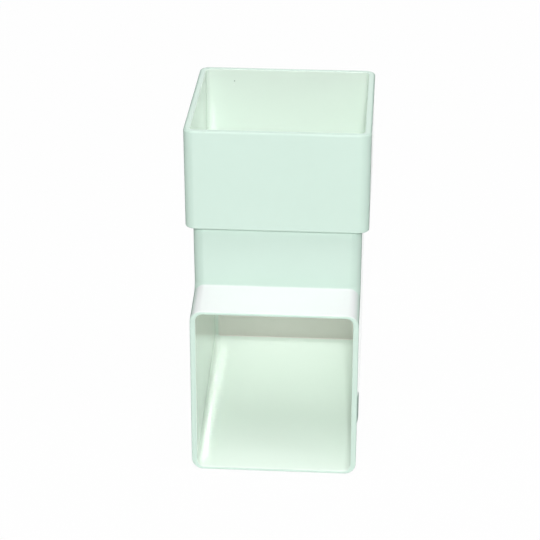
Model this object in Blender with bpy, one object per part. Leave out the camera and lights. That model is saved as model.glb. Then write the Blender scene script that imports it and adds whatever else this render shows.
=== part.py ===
# Downpipe shoe for a square rainwater pipe, injection moulded in one piece of PVC-U.
# A socket on top takes the pipe, a neck carries on in line with the pipe, and below it
# the body turns forward into a spout with an open square mouth.
# Metres. +Z runs up the pipe, -Y is the way the water leaves, X is the width.
# The origin lies on the pipe's axis, in the plane of the stop that the pipe's end meets.

import math

import bmesh
import bpy
from mathutils import Matrix, Vector

mm = 0.001

# The pipe
pipe_side = 65.0 * mm

# Socket
pipe_fit_gap = 0.15 * mm          # play between pipe and socket at the stop, each side
socket_depth = 37.7 * mm          # from the stop to the rim
socket_wall = 2.5 * mm
socket_draft = 0.15 * mm          # each wall leans out this much from stop to rim
socket_outer_corner = 4.0 * mm
socket_inner_corner = 2.0 * mm
socket_rim_round = 0.8 * mm       # outer edge of the rim
socket_lead_round = 0.4 * mm      # inner edge, which leads the pipe in
socket_foot_round = 0.5 * mm
stop_thickness = 2.2 * mm         # material between the pipe's end and the ledge outside

# Neck and body, whose outside is in line with the pipe
body_wall = 2.2 * mm
neck_height = 25.2 * mm           # from the ledge to the bend, at the front
neck_draft = 0.15 * mm            # each side stands this much further in at the bend
body_edge_round = 4.5 * mm        # upright corners and the long edges of the spout
bend_round = 1.0 * mm             # hollow fillet where the roof leaves the neck

# Spout
lip_reach = 49.4 * mm             # from the pipe's axis to the roof's front edge
roof_slope = math.radians(10.1)
roof_wall = 1.3 * mm              # roof and floor are thinner than the side walls
mouth_height = 69.0 * mm          # upright, from lip to toe, outside
mouth_lean = math.radians(1.45)   # the toe stands further forward than the lip
floor_slope = math.radians(11.0)
floor_wall = 1.3 * mm
passage_corner = 2.7 * mm         # corners of the way through neck and spout
mouth_rim_round = 0.55 * mm

# Small raised tab outside the right wall, close behind the mouth
tab_height = 13.4 * mm
tab_length = 4.0 * mm
tab_proud = 0.5 * mm
tab_behind_mouth = 1.0 * mm
tab_above_toe = 23.2 * mm
tab_corner_round = 0.8 * mm

# How finely round edges are cut
corner_segments = 8
bend_segments = 5
rim_segments = 4
cut_past = 5.0 * mm               # cutters run this far past the faces that they open
tolerance = 0.01 * mm
sharp_edge = math.radians(40)     # edges that turn more than this are the ones to round
flat_join = math.radians(0.1)     # faces that turn less than this are one flat face
smooth_shading = math.radians(30)

# PVC-U, pale mint white, glossy from a polished mould (linear colour)
plastic_colour = (0.80, 0.93, 0.86, 1.0)
plastic_roughness = 0.18

# Sizes worked out from the ones above
body_half = pipe_side / 2
spout_half = body_half - neck_draft
socket_inner_half = body_half + pipe_fit_gap
socket_outer_half = socket_inner_half + socket_wall
ledge = -stop_thickness
bend = ledge - neck_height
lip = bend - (lip_reach - spout_half) * math.tan(roof_slope)
toe = lip - mouth_height
toe_reach = lip_reach + mouth_height * math.tan(mouth_lean)
heel = toe + (toe_reach + spout_half) * math.tan(floor_slope)


def clear_scene():
    for item in list(bpy.data.objects):
        bpy.data.objects.remove(item, do_unlink=True)


def new_collection(name):
    collection = bpy.data.collections.new(name)
    bpy.context.scene.collection.children.link(collection)
    return collection


def add_object(name, mesh, collection):
    item = bpy.data.objects.new(name, mesh)
    collection.objects.link(item)
    return item


def evaluated_mesh(item):
    # the mesh with its modifiers in it, as the viewport shows it
    bpy.context.view_layer.update()
    graph = bpy.context.evaluated_depsgraph_get()
    return bpy.data.meshes.new_from_object(item.evaluated_get(graph))


def hide_tool(item):
    item.hide_render = True
    item.display_type = 'WIRE'
    return item


def mouth_y(z, inset=0.0):
    # where the mouth's leaning plane is at a height, or a plane that far behind it
    return -(lip_reach + (lip - z) * math.tan(mouth_lean)) + inset


def arc_corner(before, here, after, radius):
    # the points of a round corner of a flat outline
    back = (before - here).normalized()
    onward = (after - here).normalized()
    half_angle = back.angle(onward) / 2
    centre = here + (back + onward).normalized() * (radius / math.sin(half_angle))
    start = here + back * (radius / math.tan(half_angle)) - centre
    turn = math.pi - 2 * half_angle
    if back.x * onward.y - back.y * onward.x > 0:
        turn = -turn
    steps = [turn * step / bend_segments for step in range(bend_segments + 1)]
    return [centre + Matrix.Rotation(step, 2) @ start for step in steps]


def side_solid(name, outline, half_width, collection):
    # a flat outline of (y, z) points, drawn as a filled curve and pushed out along X
    curve = bpy.data.curves.new(name, 'CURVE')
    curve.dimensions = '2D'
    curve.fill_mode = 'BOTH'
    curve.extrude = half_width
    spline = curve.splines.new('POLY')
    spline.points.add(len(outline) - 1)
    for point, place in zip(spline.points, outline):
        point.co = (place.x, place.y, 0, 1)
    spline.use_cyclic_u = True
    drawn = add_object(name + '_outline', curve, collection)
    mesh = evaluated_mesh(drawn)
    mesh.name = name
    # the curve's own x, y and z become Y, Z and X
    mesh.transform(Matrix(((0, 0, 1, 0), (1, 0, 0, 0), (0, 1, 0, 0), (0, 0, 0, 1))))
    bpy.data.objects.remove(drawn, do_unlink=True)
    bm = bmesh.new()
    bm.from_mesh(mesh)
    bmesh.ops.remove_doubles(bm, verts=bm.verts, dist=tolerance)
    bmesh.ops.dissolve_limit(bm, angle_limit=flat_join, verts=bm.verts, edges=bm.edges)
    return bm, mesh


def lean_neck(bm, draft_share):
    # above the bend the neck widens evenly up to the ledge, and keeps that width above it
    for height in (bend, ledge):
        everything = bm.verts[:] + bm.edges[:] + bm.faces[:]
        bmesh.ops.bisect_plane(bm, geom=everything, dist=tolerance,
                               plane_co=(0, 0, height), plane_no=(0, 0, 1))
    for vertex in bm.verts:
        rise = min(1, max(0, (vertex.co.z - bend) / neck_height))
        widen = 1 + draft_share * rise
        if vertex.co.y > -spout_half - tolerance:
            vertex.co.x *= widen
            vertex.co.y *= widen


def round_long_edges(bm, radius, top, with_heel):
    # the edges that run along the side outline; the front and top faces stay sharp
    chosen = []
    for edge in bm.edges:
        ends = [vertex.co for vertex in edge.verts]
        same_side = ends[0].x * ends[1].x > 0
        at_top = all(end.z > top - tolerance for end in ends)
        low = all(end.z < bend for end in ends)
        at_front = low and all(end.y < -lip_reach + tolerance for end in ends)
        at_heel = with_heel and low and all(end.y > 0 for end in ends)
        if edge.calc_face_angle(0) > sharp_edge and not at_top and not at_front:
            if same_side or at_heel:
                chosen.append(edge)
    bmesh.ops.bevel(bm, geom=chosen, offset=radius, segments=corner_segments,
                    profile=0.5, affect='EDGES', material=-1)


def side_object(name, outline, half_width, radius, with_heel, collection):
    bm, mesh = side_solid(name, outline, half_width, collection)
    top = max(point.y for point in outline)
    bm.normal_update()
    round_long_edges(bm, radius, top, with_heel)
    lean_neck(bm, neck_draft / half_width)
    bmesh.ops.recalc_face_normals(bm, faces=bm.faces)
    bm.to_mesh(mesh)
    bm.free()
    return add_object(name, mesh, collection)


def body_outline():
    # neck and spout from outside; the top runs up into the socket's foot
    top = ledge + stop_thickness / 2
    neck_front = Vector((-spout_half, top))
    lip_point = Vector((-lip_reach, lip))
    outline = [Vector((spout_half, top)), neck_front]
    outline += arc_corner(neck_front, Vector((-spout_half, bend)), lip_point, bend_round)
    outline += [lip_point, Vector((-toe_reach, toe)), Vector((spout_half, heel))]
    return outline


def passage_outline():
    # the water's way through neck and spout, one wall inside the body
    top = cut_past
    inner_half = spout_half - body_wall
    past = toe_reach + cut_past
    roof_start = bend + body_wall * math.tan(roof_slope) - roof_wall / math.cos(roof_slope)
    roof_end = roof_start - (past - inner_half) * math.tan(roof_slope)
    floor_rise = floor_wall / math.cos(floor_slope)
    floor_end = toe - cut_past * math.tan(floor_slope) + floor_rise
    heel_inside = heel - body_wall * math.tan(floor_slope) + floor_rise
    neck_front = Vector((-inner_half, top))
    roof_point = Vector((-past, roof_end))
    outline = [Vector((inner_half, top)), neck_front]
    outline += arc_corner(neck_front, Vector((-inner_half, roof_start)), roof_point,
                          bend_round + body_wall)
    outline += [roof_point, Vector((-past, floor_end)), Vector((inner_half, heel_inside))]
    return outline


def upright_block(name, low_half, high_half, low, high, corner, collection):
    # a square block with round upright corners and leaning sides
    bm = bmesh.new()
    bmesh.ops.create_cube(bm, size=2)
    for vertex in bm.verts:
        half = high_half if vertex.co.z > 0 else low_half
        height = high if vertex.co.z > 0 else low
        vertex.co = (half * vertex.co.x, half * vertex.co.y, height)
    uprights = []
    for edge in bm.edges:
        if abs(edge.verts[0].co.z - edge.verts[1].co.z) > tolerance:
            uprights.append(edge)
    bmesh.ops.bevel(bm, geom=uprights, offset=corner, segments=corner_segments,
                    profile=0.5, affect='EDGES', material=-1)
    mesh = bpy.data.meshes.new(name)
    bm.to_mesh(mesh)
    bm.free()
    return add_object(name, mesh, collection)


def side_tab(collection):
    # its inner side is sunk half a wall deep into the body
    bm = bmesh.new()
    bmesh.ops.create_cube(bm, size=1)
    depth = tab_proud + body_wall / 2
    bottom = toe + tab_above_toe
    middle = bottom + tab_height / 2
    centre = Vector((spout_half + tab_proud - depth / 2,
                     mouth_y(middle, tab_behind_mouth + tab_length / 2), middle))
    for vertex in bm.verts:
        size = Vector((depth, tab_length, tab_height))
        vertex.co = centre + vertex.co * size
    corners = []
    for edge in bm.edges:
        if abs(edge.verts[0].co.x - edge.verts[1].co.x) > tolerance:
            corners.append(edge)
    bmesh.ops.bevel(bm, geom=corners, offset=tab_corner_round, segments=rim_segments,
                    profile=0.5, affect='EDGES', material=-1)
    mesh = bpy.data.meshes.new('tab')
    bm.to_mesh(mesh)
    bm.free()
    return add_object('tab', mesh, collection)


def combine(item, tool, operation):
    step = item.modifiers.new(tool.name, 'BOOLEAN')
    step.operation = operation
    step.object = hide_tool(tool)


def round_edges(bm, belongs, radius):
    bm.normal_update()
    chosen = []
    for edge in bm.edges:
        if edge.calc_face_angle(0) > sharp_edge and belongs(edge):
            chosen.append(edge)
    bmesh.ops.bevel(bm, geom=chosen, offset=radius, segments=rim_segments,
                    profile=0.5, affect='EDGES', material=-1)


def at_height(edge, height):
    return all(abs(end.co.z - height) < tolerance for end in edge.verts)


def bounds_outer_wall(edge):
    # the steeper of the edge's two faces looks away from the pipe's axis
    wall = min(edge.link_faces, key=lambda face: abs(face.normal.z))
    middle = (edge.verts[0].co + edge.verts[1].co) / 2
    return wall.normal.x * middle.x + wall.normal.y * middle.y > 0


def outer_rim_edge(edge):
    return at_height(edge, socket_depth) and bounds_outer_wall(edge)


def inner_rim_edge(edge):
    return at_height(edge, socket_depth) and not bounds_outer_wall(edge)


def mouth_edge(edge):
    return all(abs(end.co.y - mouth_y(end.co.z)) < tolerance for end in edge.verts)


def foot_edge(edge):
    # the socket's lower edge outside, and not the corner where the neck leaves it
    furthest = max(abs(axis) for end in edge.verts for axis in end.co.xy)
    return at_height(edge, ledge) and furthest > body_half + socket_wall / 2


def plastic():
    material = bpy.data.materials.new('pale_mint_pvc')
    material.use_nodes = True
    shader = material.node_tree.nodes['Principled BSDF']
    shader.inputs['Base Color'].default_value = plastic_colour
    shader.inputs['Roughness'].default_value = plastic_roughness
    shader.inputs['Metallic'].default_value = 0.0
    material.diffuse_color = plastic_colour
    return material


def build_shoe():
    parts = new_collection('downpipe_shoe')
    tools = new_collection('shaping_tools')
    inner_top = socket_inner_half + socket_draft
    past_rim = socket_depth + cut_past
    lean_past = socket_draft * cut_past / socket_depth
    shoe = upright_block('downpipe_shoe', socket_outer_half, socket_outer_half + socket_draft,
                         ledge, socket_depth, socket_outer_corner, parts)
    body = side_object('body', body_outline(), spout_half, body_edge_round, True, tools)
    passage = side_object('passage', passage_outline(), spout_half - body_wall,
                          passage_corner, False, tools)
    bore = upright_block('socket_bore', socket_inner_half, inner_top + lean_past,
                         0, past_rim, socket_inner_corner, tools)
    combine(shoe, body, 'UNION')
    combine(shoe, side_tab(tools), 'UNION')
    combine(shoe, bore, 'DIFFERENCE')
    combine(shoe, passage, 'DIFFERENCE')
    shaped = evaluated_mesh(shoe)
    shoe.modifiers.clear()
    bm = bmesh.new()
    bm.from_mesh(shaped)
    bmesh.ops.remove_doubles(bm, verts=bm.verts, dist=tolerance)
    bmesh.ops.dissolve_limit(bm, angle_limit=flat_join, verts=bm.verts, edges=bm.edges)
    round_edges(bm, outer_rim_edge, socket_rim_round)
    round_edges(bm, inner_rim_edge, socket_lead_round)
    round_edges(bm, mouth_edge, mouth_rim_round)
    round_edges(bm, foot_edge, socket_foot_round)
    bmesh.ops.triangulate(bm, faces=bm.faces)
    bm.to_mesh(shaped)
    bm.free()
    shoe.data = shaped
    shaped.materials.clear()
    shaped.materials.append(plastic())
    shaped.shade_smooth()
    shaped.set_sharp_from_angle(angle=smooth_shading)
    return shoe


clear_scene()
build_shoe()
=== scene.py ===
# Downpipe shoe for a square rainwater pipe, moulded in pale mint PVC-U.
# Metres, +Z up the pipe. The origin is on the pipe's axis, at the stop that the pipe's end meets.

import math

import bmesh
import bpy
from mathutils import Matrix, Vector


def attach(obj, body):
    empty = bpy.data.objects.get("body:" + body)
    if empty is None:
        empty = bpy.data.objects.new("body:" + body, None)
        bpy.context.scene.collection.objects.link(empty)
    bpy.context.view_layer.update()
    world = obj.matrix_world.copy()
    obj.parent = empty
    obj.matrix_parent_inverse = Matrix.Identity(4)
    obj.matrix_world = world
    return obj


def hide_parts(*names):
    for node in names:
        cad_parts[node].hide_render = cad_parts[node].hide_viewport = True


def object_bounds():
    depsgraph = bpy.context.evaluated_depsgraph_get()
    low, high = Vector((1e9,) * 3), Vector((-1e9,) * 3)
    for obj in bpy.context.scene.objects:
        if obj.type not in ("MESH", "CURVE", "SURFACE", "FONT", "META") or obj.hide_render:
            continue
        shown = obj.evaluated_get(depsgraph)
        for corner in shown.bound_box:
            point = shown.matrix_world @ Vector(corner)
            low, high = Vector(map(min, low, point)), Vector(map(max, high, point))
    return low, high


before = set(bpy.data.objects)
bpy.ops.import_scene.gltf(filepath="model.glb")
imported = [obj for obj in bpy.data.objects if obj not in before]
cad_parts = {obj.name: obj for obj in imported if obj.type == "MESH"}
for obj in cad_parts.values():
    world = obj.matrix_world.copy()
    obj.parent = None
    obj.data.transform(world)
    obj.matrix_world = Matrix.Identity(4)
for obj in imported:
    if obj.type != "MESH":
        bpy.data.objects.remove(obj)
cadLow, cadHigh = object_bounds()
print("frame loaded:", sorted(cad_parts))

mm = 0.001
nearly = 0.01 * mm  # points closer than this are in one place


# Shapes

shoeSizes = {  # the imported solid's own sizes, in millimetres unless noted
    "pipeSide": 65.0,
    "pipeFitGap": 0.15,  # play round the pipe at the stop
    "socketWall": 2.5,
    "socketDraft": 0.15,  # each wall leans out this much up to the rim
    "socketOuterCorner": 4.0,
    "socketInnerCorner": 2.0,
    "stopThickness": 2.2,  # from the pipe's end down to the ledge outside
    "bodyWall": 2.2,
    "neckHeight": 25.2,  # from the ledge down to the bend, at the front
    "neckDraft": 0.15,  # each side stands this much further in at the bend
    "bodyEdgeRound": 4.5,  # upright corners and the spout's long edges
    "bendRound": 1.0,  # hollow corner where the roof leaves the neck
    "lipReach": 49.4,  # pipe axis to the roof's front edge
    "roofSlope": 10.1,  # degrees
    "roofWall": 1.3,  # roof and floor are thinner than the side walls
    "mouthHeight": 69.0,
    "mouthLean": 1.45,  # degrees, with the toe further forward than the lip
    "floorSlope": 11.0,  # degrees
    "floorWall": 1.3,
    "passageCorner": 2.7,
    "cutPast": 5.0,  # how far a cutter runs past the faces it opens
}

shoeEdges = {  # the fine rounding that the mould gives, in millimetres unless noted
    "socketRim": 0.8,
    "socketLead": 0.4,  # the rim's inner edge, which leads the pipe in
    "mouthRim": 0.55,
    "socketFoot": 0.25,
    "footFillet": 0.1,  # hollow corner between the ledge and the neck
    "stopFillet": 0.4,  # hollow corner between the socket and its stop
    "stopEdge": 0.3,  # where the stop drops into the neck
    "rimSegments": 6,
    "filletSegments": 3,
    "cornerSegments": 18,
    "bendSegments": 8,
    "cornerOver": 40.0,  # degrees between faces past which an edge is a corner to round
    "flatUnder": 0.1,  # degrees between faces under which they are one flat face
    "sharpOver": 32.0,  # degrees between faces past which an edge shades as sharp
}

tabSizes = {  # millimetres, the low raised tab on the right wall
    "height": 12.6,
    "length": 4.0,
    "proud": 0.5,
    "behindMouth": 1.0,
    "aboveToe": 22.0,
    "cornerRound": 0.8,
    "faceRound": 0.12,
    "ramp": 0.45,  # how much less proud its front end is
}


def inMetres(sizes):
    return {name: value * mm for name, value in sizes.items()}


size = inMetres(shoeSizes)
roofTan = math.tan(math.radians(shoeSizes["roofSlope"]))
floorTan = math.tan(math.radians(shoeSizes["floorSlope"]))
leanTan = math.tan(math.radians(shoeSizes["mouthLean"]))
bodyHalf = size["pipeSide"] / 2
spoutHalf = bodyHalf - size["neckDraft"]
socketInner = bodyHalf + size["pipeFitGap"]
socketOuter = socketInner + size["socketWall"]
rimHeight = cadHigh.z
ledge = -size["stopThickness"]
bend = ledge - size["neckHeight"]
lip = bend - (size["lipReach"] - spoutHalf) * roofTan
toe = lip - size["mouthHeight"]
toeReach = size["lipReach"] + size["mouthHeight"] * leanTan
heel = toe + (toeReach + spoutHalf) * floorTan


def mouthAt(z):
    # where the leaning mouth is at a height
    return -(size["lipReach"] + (lip - z) * leanTan)


def roundCorner(before, here, after, radius, steps):
    # points of a round corner in a flat outline
    back = (before - here).normalized()
    onward = (after - here).normalized()
    halfAngle = back.angle(onward) / 2
    centre = here + (back + onward).normalized() * (radius / math.sin(halfAngle))
    arm = here + back * (radius / math.tan(halfAngle)) - centre
    turn = math.pi - 2 * halfAngle
    if back.x * onward.y - back.y * onward.x > 0:
        turn = -turn
    return [centre + Matrix.Rotation(turn * step / steps, 2) @ arm for step in range(steps + 1)]


def isCorner(edge):
    return edge.calc_face_angle(0) > math.radians(shoeEdges["cornerOver"])


def bevelEdges(bm, edges, radius, segments):
    bmesh.ops.bevel(bm, geom=edges, offset=radius, segments=segments, profile=0.5,
                    affect='EDGES', material=-1)


def newPiece(name, bm):
    mesh = bpy.data.meshes.new(name)
    bm.to_mesh(mesh)
    bm.free()
    piece = bpy.data.objects.new(name, mesh)
    bpy.context.scene.collection.objects.link(piece)
    return piece


def newShape(name, bm, side):
    # side is the material slot of its faces: 0 for outer skin, 1 for what a cutter opens inside
    for face in bm.faces:
        face.material_index = side
    shape = newPiece(name, bm)
    for slot in range(2):
        shape.data.materials.append(None)
    return shape


def sidePrism(name, outline, halfWidth, radius, roundHeel, side):
    # a side outline of (y, z) points, pushed out across the width, with its long edges rounded
    bm = bmesh.new()
    corners = [bm.verts.new((-halfWidth, point.x, point.y)) for point in outline]
    flatSide = bm.faces.new(corners)
    pushed = bmesh.ops.extrude_face_region(bm, geom=[flatSide])
    moved = [item for item in pushed["geom"] if isinstance(item, bmesh.types.BMVert)]
    bmesh.ops.translate(bm, verts=moved, vec=(2 * halfWidth, 0, 0))
    bmesh.ops.recalc_face_normals(bm, faces=bm.faces)
    top = max(point.y for point in outline)
    longEdges = []
    for edge in bm.edges:
        ends = [vert.co for vert in edge.verts]
        alongSide = ends[0].x * ends[1].x > 0
        atTop = all(end.z > top - nearly for end in ends)
        atMouth = all(end.y < -size["lipReach"] + nearly for end in ends)
        atHeel = roundHeel and all(end.y > 0 and end.z < bend for end in ends)
        if isCorner(edge) and (alongSide or atHeel) and not atTop and not atMouth:
            longEdges.append(edge)
    bevelEdges(bm, longEdges, radius, shoeEdges["cornerSegments"])
    leanNeck(bm, size["neckDraft"] / halfWidth)
    bmesh.ops.recalc_face_normals(bm, faces=bm.faces)
    return newShape(name, bm, side)


def leanNeck(bm, draftShare):
    # the neck widens from the bend up to the ledge and keeps that width above it
    for height in (bend, ledge):
        everything = bm.verts[:] + bm.edges[:] + bm.faces[:]
        bmesh.ops.bisect_plane(bm, geom=everything, dist=nearly,
                               plane_co=(0, 0, height), plane_no=(0, 0, 1))
    for vert in bm.verts:
        rise = min(1, max(0, (vert.co.z - bend) / size["neckHeight"]))
        if vert.co.y > -spoutHalf - nearly:
            vert.co.x *= 1 + draftShare * rise
            vert.co.y *= 1 + draftShare * rise


def taperBlock(name, lowHalf, highHalf, low, high, corner, side):
    # a square block with leaning walls and round upright corners
    bm = bmesh.new()
    bmesh.ops.create_cube(bm, size=2)
    for vert in bm.verts:
        half, height = (highHalf, high) if vert.co.z > 0 else (lowHalf, low)
        vert.co = (half * vert.co.x, half * vert.co.y, height)
    uprights = [edge for edge in bm.edges if abs(edge.verts[0].co.z - edge.verts[1].co.z) > nearly]
    bevelEdges(bm, uprights, corner, shoeEdges["cornerSegments"])
    return newShape(name, bm, side)


def makeBody():
    # neck and spout from outside, up into the socket's foot
    top = ledge + size["stopThickness"] / 2
    neckFront = Vector((-spoutHalf, top))
    lipPoint = Vector((-size["lipReach"], lip))
    outline = [Vector((spoutHalf, top)), neckFront]
    outline += roundCorner(neckFront, Vector((-spoutHalf, bend)), lipPoint,
                           size["bendRound"], shoeEdges["bendSegments"])
    outline += [lipPoint, Vector((-toeReach, toe)), Vector((spoutHalf, heel))]
    return sidePrism("body", outline, spoutHalf, size["bodyEdgeRound"], True, 0)


def makePassage():
    # the water's way through neck and spout, one wall inside the body
    wall = size["bodyWall"]
    inner = spoutHalf - wall
    past = toeReach + size["cutPast"]
    roofStart = bend + wall * roofTan - size["roofWall"] * math.hypot(1, roofTan)
    floorRise = size["floorWall"] * math.hypot(1, floorTan)
    neckFront = Vector((-inner, size["cutPast"]))
    roofEnd = Vector((-past, roofStart - (past - inner) * roofTan))
    outline = [Vector((inner, size["cutPast"])), neckFront]
    outline += roundCorner(neckFront, Vector((-inner, roofStart)), roofEnd,
                           size["bendRound"] + wall, shoeEdges["bendSegments"])
    outline += [roofEnd, Vector((-past, toe - size["cutPast"] * floorTan + floorRise)),
                Vector((inner, heel - wall * floorTan + floorRise))]
    return sidePrism("passage", outline, inner, size["passageCorner"], False, 1)


def makeTab():
    # sunk half a wall deep into the right wall, with a soft edge round its sloping face
    tab = inMetres(tabSizes)
    depth = tab["proud"] + size["bodyWall"] / 2
    middle = toe + tab["aboveToe"] + tab["height"] / 2
    front = mouthAt(middle) + tab["behindMouth"]
    centre = Vector((spoutHalf + tab["proud"] - depth / 2, front + tab["length"] / 2, middle))
    bm = bmesh.new()
    bmesh.ops.create_cube(bm, size=1)
    bmesh.ops.scale(bm, verts=bm.verts, vec=(depth, tab["length"], tab["height"]))
    bmesh.ops.translate(bm, verts=bm.verts, vec=centre)
    across = [edge for edge in bm.edges if abs(edge.verts[0].co.x - edge.verts[1].co.x) > nearly]
    bevelEdges(bm, across, tab["cornerRound"], shoeEdges["rimSegments"])
    faceX = centre.x + depth / 2
    outer = [edge for edge in bm.edges if all(vert.co.x > faceX - nearly for vert in edge.verts)]
    bevelEdges(bm, outer, tab["faceRound"], shoeEdges["filletSegments"])
    for vert in bm.verts:
        if vert.co.x > centre.x:
            vert.co.x -= tab["ramp"] * (1 - (vert.co.y - front) / tab["length"])
    return newShape("tab", bm, 0)


def combine(piece, tool, operation):
    step = piece.modifiers.new(tool.name, 'BOOLEAN')
    step.operation = operation
    step.object = tool


def appliedMesh(piece):
    bpy.context.view_layer.update()
    graph = bpy.context.evaluated_depsgraph_get()
    return bpy.data.meshes.new_from_object(piece.evaluated_get(graph))


def cutShoe():
    # socket, body and tab are joined, then the socket's bore and the passage are cut out
    lean = size["socketDraft"] / rimHeight
    boreTop = rimHeight + size["cutPast"]
    shoe = taperBlock("shoe", socketOuter, socketOuter + size["socketDraft"], ledge, rimHeight,
                      size["socketOuterCorner"], 0)
    bore = taperBlock("bore", socketInner, socketInner + lean * boreTop, 0, boreTop,
                      size["socketInnerCorner"], 1)
    tools = [(makeBody(), 'UNION'), (makeTab(), 'UNION'),
             (bore, 'DIFFERENCE'), (makePassage(), 'DIFFERENCE')]
    for tool, operation in tools:
        combine(shoe, tool, operation)
    shoe.data = appliedMesh(shoe)
    shoe.modifiers.clear()
    for tool, _ in tools:
        bpy.data.objects.remove(tool)
    return shoe


def softenEdges(bm):
    # rims, foot, fillets and stop, each found by the plane and the ring that it lies on
    rimMiddle = socketOuter + size["socketDraft"] - size["socketWall"] / 2
    ledgeMiddle = bodyHalf + size["socketWall"] / 2
    stopMiddle = bodyHalf - size["bodyWall"] / 2

    def onRing(point, height, inner=0, outer=math.inf):
        ring = max(abs(point.x), abs(point.y))
        return abs(point.z - height) < nearly and inner < ring < outer

    places = [
        ("socketRim", "rimSegments", lambda p: onRing(p, rimHeight, inner=rimMiddle)),
        ("socketLead", "rimSegments", lambda p: onRing(p, rimHeight, outer=rimMiddle)),
        ("mouthRim", "rimSegments", lambda p: abs(p.y - mouthAt(p.z)) < nearly),
        ("socketFoot", "rimSegments", lambda p: onRing(p, ledge, inner=ledgeMiddle)),
        ("footFillet", "filletSegments", lambda p: onRing(p, ledge, outer=ledgeMiddle)),
        ("stopFillet", "filletSegments", lambda p: onRing(p, 0, inner=stopMiddle)),
        ("stopEdge", "filletSegments", lambda p: onRing(p, 0, outer=stopMiddle)),
    ]
    for edgeName, segmentsName, lies in places:
        bm.normal_update()
        chosen = [edge for edge in bm.edges
                  if isCorner(edge) and all(lies(vert.co) for vert in edge.verts)]
        bevelEdges(bm, chosen, shoeEdges[edgeName] * mm, shoeEdges[segmentsName])
        print("softened", edgeName, len(chosen), "edges")


def makeShoe():
    shoe = cutShoe()
    mesh = shoe.data
    bm = bmesh.new()
    bm.from_mesh(mesh)
    bmesh.ops.remove_doubles(bm, verts=bm.verts, dist=nearly)
    bmesh.ops.dissolve_limit(bm, angle_limit=math.radians(shoeEdges["flatUnder"]),
                             verts=bm.verts, edges=bm.edges)
    softenEdges(bm)
    bmesh.ops.triangulate(bm, faces=[face for face in bm.faces if len(face.verts) > 4])
    markTones(bm)
    bm.to_mesh(mesh)
    bm.free()
    mesh.materials.clear()
    mesh.shade_smooth()
    mesh.set_sharp_from_angle(angle=math.radians(shoeEdges["sharpOver"]))
    evenShading = shoe.modifiers.new("evenShading", 'WEIGHTED_NORMAL')  # keeps broad faces flat
    evenShading.keep_sharp = True
    print("shoe made:", len(mesh.polygons), "faces")
    return shoe


# Materials

mintPvc = {
    "colour": "#D7EEE2",
    "cloudColour": "#D3EBDE",  # the darker of its faint clouds
    "cloudSize": 28.0,  # mm, one soft cloud of tone
    "cloudDetail": 3.0,
    "insideLiftColour": "#EDFAF0",  # inside, painted a touch paler: light that lifts the dim hollow
    "backShadeColour": "#F3EFE8",  # the spout's back wall inside, painted a warmer white for the tint of its shade
    "backShadeFrom": 29.4,  # mm behind the pipe's axis where that colour starts
    "backShadeFull": 30.0,
    "backShadeFade": 5.48,  # mm below the bend over which it comes in
    "roofColour": "#F0F2F2",  # the spout's roof, painted near white as the glare of the lamps on it
    "roofGlareFrom": 0.35,  # how far up a point faces where that colour starts, 1 on a level top
    "roofGlareFull": 0.85,
    "ior": 1.54,
    "metallic": 0.0,
    "roughness": 0.06,
    "roughnessSpread": 0.02,
    "wavePitch": 22.0,  # mm, the slow warp of a moulded panel
    "waveHeight": 0.02,  # mm
    "waveDetail": 1.0,
    "peelPitch": 1.6,  # mm, orange peel of the mould, drawn coarser than real so that it shows
    "peelHeight": 0.0012,  # mm
    "specks": [  # mm: place and radius of a dirt speck and a nick in the socket, then their colour
        (-21.45, 32.8, 32.7, 0.3, "#8FA197"),
        (-21.6, 32.8, 31.1, 0.3, "#F8FFFA"),
    ],
}


def roofGlareShare(vert):
    # how far a point takes the roof's painted glare, faded where the surface turns away
    if vert.co.y > -spoutHalf - nearly or vert.co.z > bend + size["bendRound"]:
        return 0.0
    start, full = mintPvc["roofGlareFrom"], mintPvc["roofGlareFull"]
    return min(1.0, max(0.0, (vert.normal.z - start) / (full - start)))


def markTones(bm):
    # two shares at each point for the material: how far it is inside, and how far it takes the roof's
    # painted glare
    inside = bm.verts.layers.float.new("inside")
    roofGlare = bm.verts.layers.float.new("roofGlare")
    bm.normal_update()
    for vert in bm.verts:
        innerFaces = sum(face.material_index for face in vert.link_faces)
        vert[inside] = innerFaces / len(vert.link_faces)
        vert[roofGlare] = (1 - vert[inside]) * roofGlareShare(vert)
    for face in bm.faces:
        face.material_index = 0
    for name, share in (("inside", inside), ("roofGlare", roofGlare)):
        print(name, "share of the points:", round(sum(v[share] for v in bm.verts) / len(bm.verts), 3))


def linearColour(hexText):
    # sRGB hex to the linear colour that shaders take
    channels = [int(hexText[place:place + 2], 16) / 255 for place in (1, 3, 5)]
    linear = [c / 12.92 if c <= 0.04045 else ((c + 0.055) / 1.055) ** 2.4 for c in channels]
    return (*linear, 1.0)


def addNode(tree, kind, settings=None, values=None, links=None):
    node = tree.nodes.new(kind)
    for name, value in (settings or {}).items():
        setattr(node, name, value)
    for socket, value in (values or {}).items():
        node.inputs[socket].default_value = value
    for socket, source in (links or {}).items():
        tree.links.new(source, node.inputs[socket])
    return node


def newMaterial(name):
    material = bpy.data.materials.new(name)
    material.use_nodes = True
    tree = material.node_tree
    tree.nodes.clear()
    return material, tree


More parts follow.
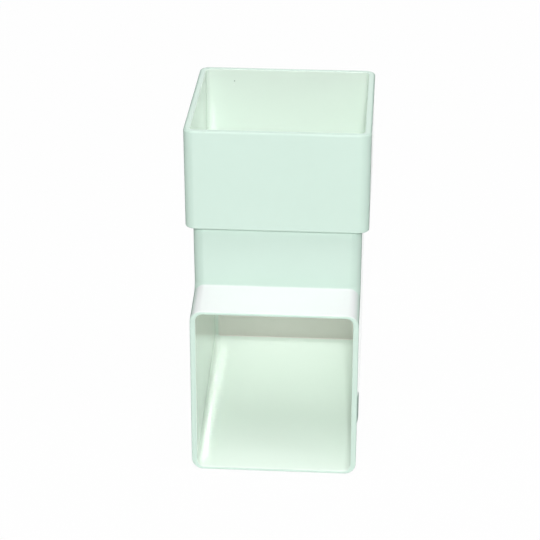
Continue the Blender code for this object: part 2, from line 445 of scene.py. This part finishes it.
def addTones(tree, place, cloud):
    # the clouded skin outside, the inside painted paler to lift its light, its back wall painted a
    # warmer white for the tint of its shade, and the roof painted near white as glare
    look = mintPvc
    skin = addNode(tree, 'ShaderNodeMix', {"data_type": 'RGBA'},
                   {"A": linearColour(look["colour"]), "B": linearColour(look["cloudColour"])},
                   {"Factor": cloud})
    apart = addNode(tree, 'ShaderNodeSeparateXYZ', links={"Vector": place})
    # painted warm tint of the shade on the spout's back wall, below the bend
    behind = addNode(tree, 'ShaderNodeMapRange', {},
                     {"From Min": look["backShadeFrom"] * mm, "From Max": look["backShadeFull"] * mm},
                     {"Value": apart.outputs["Y"]})
    below = addNode(tree, 'ShaderNodeMapRange', {},
                    {"From Min": bend, "From Max": bend - look["backShadeFade"] * mm},
                    {"Value": apart.outputs["Z"]})
    backShadeMask = addNode(tree, 'ShaderNodeMath', {"operation": 'MULTIPLY'}, {},
                     {0: behind.outputs["Result"], 1: below.outputs["Result"]})
    # the inside painted paler, to lift the hollow's light
    core = addNode(tree, 'ShaderNodeMix', {"data_type": 'RGBA'},
                   {"A": linearColour(look["insideLiftColour"]), "B": linearColour(look["backShadeColour"])},
                   {"Factor": backShadeMask.outputs["Value"]})
    inside = addNode(tree, 'ShaderNodeAttribute', {"attribute_name": "inside"})
    both = addNode(tree, 'ShaderNodeMix', {"data_type": 'RGBA'}, {},
                   {"Factor": inside.outputs["Fac"], "A": skin.outputs["Result"],
                    "B": core.outputs["Result"]})
    # the roof painted near white, as the lamps' glare on it
    roofGlare = addNode(tree, 'ShaderNodeAttribute', {"attribute_name": "roofGlare"})
    withRoofGlare = addNode(tree, 'ShaderNodeMix', {"data_type": 'RGBA'},
                     {"B": linearColour(look["roofColour"])},
                     {"Factor": roofGlare.outputs["Fac"], "A": both.outputs["Result"]})
    return withRoofGlare.outputs["Result"]


def addSpecks(tree, place, tone):
    # each a dot, full to half its radius and faded out at its edge
    for x, y, z, radius, colour in mintPvc["specks"]:
        away = addNode(tree, 'ShaderNodeVectorMath', {"operation": 'DISTANCE'},
                       {1: (x * mm, y * mm, z * mm)}, {0: place})
        dot = addNode(tree, 'ShaderNodeMapRange', {},
                      {"From Min": radius * mm, "From Max": radius * mm / 2},
                      {"Value": away.outputs["Value"]})
        speck = addNode(tree, 'ShaderNodeMix', {"data_type": 'RGBA'}, {"B": linearColour(colour)},
                        {"Factor": dot.outputs["Result"], "A": tone})
        tone = speck.outputs["Result"]
    return tone


def addBumps(tree, place):
    # the panels' slow warp, with the fine orange peel over it
    look = mintPvc
    wave = addNode(tree, 'ShaderNodeTexNoise', {}, {"Scale": 1 / (look["wavePitch"] * mm),
                   "Detail": look["waveDetail"]}, {"Vector": place})
    waveBump = addNode(tree, 'ShaderNodeBump', {}, {"Distance": look["waveHeight"] * mm},
                       {"Height": wave.outputs["Fac"]})
    peel = addNode(tree, 'ShaderNodeTexNoise', {}, {"Scale": 1 / (look["peelPitch"] * mm)},
                   {"Vector": place})
    peelBump = addNode(tree, 'ShaderNodeBump', {}, {"Distance": look["peelHeight"] * mm},
                       {"Height": peel.outputs["Fac"], "Normal": waveBump.outputs["Normal"]})
    return peelBump.outputs["Normal"]


def makeMintPvc():
    # Injection-moulded PVC-U from a polished steel mould: opaque, evenly coloured right through,
    # glossy, with faint clouds of tone and panels that are not quite flat
    # the paler inside, the warmer back wall and the near-white roof are painted light, not the
    # plastic's own colour
    look = mintPvc
    material, tree = newMaterial("mintPvc")
    place = addNode(tree, 'ShaderNodeTexCoord').outputs["Object"]
    clouds = addNode(tree, 'ShaderNodeTexNoise', {}, {"Scale": 1 / (look["cloudSize"] * mm),
                     "Detail": look["cloudDetail"]}, {"Vector": place})
    cloud = clouds.outputs["Fac"]
    tones = addTones(tree, place, cloud)
    sheen = addNode(tree, 'ShaderNodeMapRange', {},
                    {"To Min": look["roughness"] - look["roughnessSpread"] / 2,
                     "To Max": look["roughness"] + look["roughnessSpread"] / 2},
                    {"Value": cloud})
    shader = addNode(tree, 'ShaderNodeBsdfPrincipled', {},
                     {"IOR": look["ior"], "Metallic": look["metallic"]},
                     {"Base Color": addSpecks(tree, place, tones),
                      "Roughness": sheen.outputs["Result"],
                      "Normal": addBumps(tree, place)})
    addNode(tree, 'ShaderNodeOutputMaterial', links={"Surface": shader.outputs["BSDF"]})
    print("material made:", material.name)
    return material


# Studio

studio = {
    "aim": (0.0, 0.0, -0.03),  # metres
    # each lamp: degrees from the mouth's side round to the right, degrees up, metres away,
    # width and height in metres, watts
    "softboxes": {
        "key": (3.1, 32.6, 2.5, 0.20, 0.10, 33.2),  # just over the camera: shines into the spout
        "top": (0, 88, 1.5, 1.6, 1.6, 0.8),
        "topClose": (0, 88, 1.5, 0.5, 0.5, 3.8),
        "frontHigh": (0, 72, 1.6, 1.0, 0.5, 6.0),
        "right": (75, 50, 1.6, 0.6, 0.8, 4.0),
        "left": (-75, 50, 1.6, 0.6, 0.8, 2.2),
    },
    "fills": {  # the same, for lamps that leave no glare on the edges
        "leftBack": (-158, 12, 1.6, 0.8, 0.5, 7.0),
        "rightBack": (158, 12, 1.6, 0.8, 0.5, 7.0),
    },
    "glints": {  # mm: place, width, height, then milliwatts
        "glintSpout": (-29.6, -90.0, -42.0, 0.8, 47.0, 0.28),
        "glintSocket": (-32.2, -30.0, 50.0, 0.6, 22.0, 0.03),
    },
    "glintTurn": 1.7,  # degrees off the left wall
    "glintSpread": 3.4,  # degrees
    "ambient": 0.03,
    "floorGap": 0.2,  # mm under the toe
    "floorSize": 12.0,  # metres
    "floorColour": "#F2F2F2",
    "floorWhite": 0.96,  # share of plain white that the camera sees, the rest takes light and shadow
    "backgroundWhite": 1.0,
    "flag": {  # mm: dark cards beside the shoe, which only its gloss sees, so that pale edges read
        "beside": 42.0,  # from the pipe's axis
        "front": -75.0,
        "back": 260.0,
        "height": 160.0,
        "colour": "#3A4F4A",
    },
}


def whiteToCamera(tree):
    # 1 for camera, mirror and transmission rays, 0 for the light that bounces
    path = addNode(tree, 'ShaderNodeLightPath')
    seen = path.outputs["Is Camera Ray"]
    for name in ("Is Glossy Ray", "Is Transmission Ray"):
        both = addNode(tree, 'ShaderNodeMath', {"operation": 'MAXIMUM'}, {},
                       {0: seen, 1: path.outputs[name]})
        seen = both.outputs["Value"]
    return seen


def flatSheet():
    # a level square, one metre a side, round the origin
    bm = bmesh.new()
    bmesh.ops.create_grid(bm, x_segments=1, y_segments=1, size=0.5)
    return bm


def makeFloor():
    bm = flatSheet()
    bmesh.ops.scale(bm, verts=bm.verts, vec=(studio["floorSize"], studio["floorSize"], 1))
    bmesh.ops.translate(bm, verts=bm.verts, vec=(0, 0, cadLow.z - studio["floorGap"] * mm))
    floor = newPiece("floor", bm)
    material, tree = newMaterial("floorPaper")
    paper = addNode(tree, 'ShaderNodeBsdfDiffuse',
                    values={"Color": linearColour(studio["floorColour"])})
    white = addNode(tree, 'ShaderNodeEmission')
    share = addNode(tree, 'ShaderNodeMath', {"operation": 'MULTIPLY'}, {1: studio["floorWhite"]},
                    {0: whiteToCamera(tree)})
    mixed = addNode(tree, 'ShaderNodeMixShader', {}, {},
                    {0: share.outputs["Value"], 1: paper.outputs["BSDF"],
                     2: white.outputs["Emission"]})
    addNode(tree, 'ShaderNodeOutputMaterial', links={"Surface": mixed.outputs["Shader"]})
    floor.data.materials.append(material)


def makeWorld():
    world = bpy.data.worlds.new("studio")
    world.use_nodes = True
    tree = world.node_tree
    tree.nodes.clear()
    white = linearColour("#FFFFFF")
    around = addNode(tree, 'ShaderNodeBackground', {},
                     {"Color": white, "Strength": studio["ambient"]})
    backdrop = addNode(tree, 'ShaderNodeBackground', {},
                       {"Color": white, "Strength": studio["backgroundWhite"]})
    mixed = addNode(tree, 'ShaderNodeMixShader', {}, {},
                    {0: whiteToCamera(tree), 1: around.outputs["Background"],
                     2: backdrop.outputs["Background"]})
    addNode(tree, 'ShaderNodeOutputWorld', links={"Surface": mixed.outputs["Shader"]})
    bpy.context.scene.world = world


def hangLamp(name, place, shines, width, height, watts):
    # a rectangular lamp at a place, shining in a direction
    lamp = bpy.data.lights.new(name, 'AREA')
    lamp.shape = 'RECTANGLE'
    lamp.size = width
    lamp.size_y = height
    lamp.energy = watts
    box = bpy.data.objects.new(name, lamp)
    box.location = place
    box.rotation_euler = shines.to_track_quat('-Z', 'Y').to_euler()
    box.visible_camera = False
    bpy.context.scene.collection.objects.link(box)
    return box


def makeLamps():
    aim = Vector(studio["aim"])
    for kind in ("softboxes", "fills"):
        for name, (azimuth, elevation, away, width, height, watts) in studio[kind].items():
            around, up = math.radians(azimuth), math.radians(elevation)
            towards = Vector((math.sin(around) * math.cos(up), -math.cos(around) * math.cos(up),
                              math.sin(up)))
            place = aim + towards * away
            box = hangLamp(name, place, aim - place, width, height, watts)
            box.visible_glossy = kind == "softboxes"


def makeGlints():
    # narrow strips along the left walls, in place of the key's own mirror image in them
    turn, drop = math.radians(studio["glintTurn"]), math.radians(studio["softboxes"]["key"][1])
    along = Vector((math.sin(turn) * math.cos(drop), math.cos(turn) * math.cos(drop),
                    -math.sin(drop)))
    for name, (x, y, z, width, height, milliwatts) in studio["glints"].items():
        strip = hangLamp(name, Vector((x, y, z)) * mm, along, width * mm, height * mm,
                         milliwatts / 1000)
        strip.data.spread = math.radians(studio["glintSpread"])
        strip.visible_glossy = False


def makeFlags():
    flag = studio["flag"]
    length = (flag["back"] - flag["front"]) * mm
    middle = (flag["back"] + flag["front"]) / 2 * mm
    height = flag["height"] * mm
    material, tree = newMaterial("flagCard")
    card = addNode(tree, 'ShaderNodeEmission', values={"Color": linearColour(flag["colour"])})
    addNode(tree, 'ShaderNodeOutputMaterial', links={"Surface": card.outputs["Emission"]})
    for name, side in (("flagLeft", -1), ("flagRight", 1)):
        bm = flatSheet()
        bmesh.ops.rotate(bm, verts=bm.verts, matrix=Matrix.Rotation(math.radians(90), 3, 'Y'))
        bmesh.ops.scale(bm, verts=bm.verts, vec=(1, length, height))
        bmesh.ops.translate(bm, verts=bm.verts, vec=(side * flag["beside"] * mm, middle,
                                                     cadLow.z + height / 2))
        piece = newPiece(name, bm)
        piece.data.materials.append(material)
        piece.visible_camera = False
        piece.visible_diffuse = False
        piece.visible_shadow = False
        piece.visible_transmission = False


photoCamera = {
    "place": (43.08, -705.58, 308.52),  # mm
    "pitch": 64.034,  # degrees up from looking straight down
    "turn": 3.887,  # degrees
    "lens": 129.72,  # mm
    "sensor": 36.0,  # mm
}


def makeCamera():
    view = photoCamera
    data = bpy.data.cameras.new("camera")
    data.sensor_width = view["sensor"]
    data.lens = view["lens"]
    camera = bpy.data.objects.new("camera", data)
    camera.location = Vector(view["place"]) * mm
    camera.rotation_euler = (math.radians(view["pitch"]), 0, math.radians(view["turn"]))
    bpy.context.scene.collection.objects.link(camera)
    bpy.context.scene.camera = camera


def makeAll():
    shoe = makeShoe()
    shoe.name = "moulded_shoe"
    shoe.data.materials.append(makeMintPvc())
    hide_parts("downpipe_shoe")
    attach(shoe, "root")
    makeFloor()
    makeWorld()
    makeLamps()
    makeGlints()
    makeFlags()
    makeCamera()
    bpy.context.scene.view_settings.view_transform = 'Standard'
    print("studio made")


makeAll()
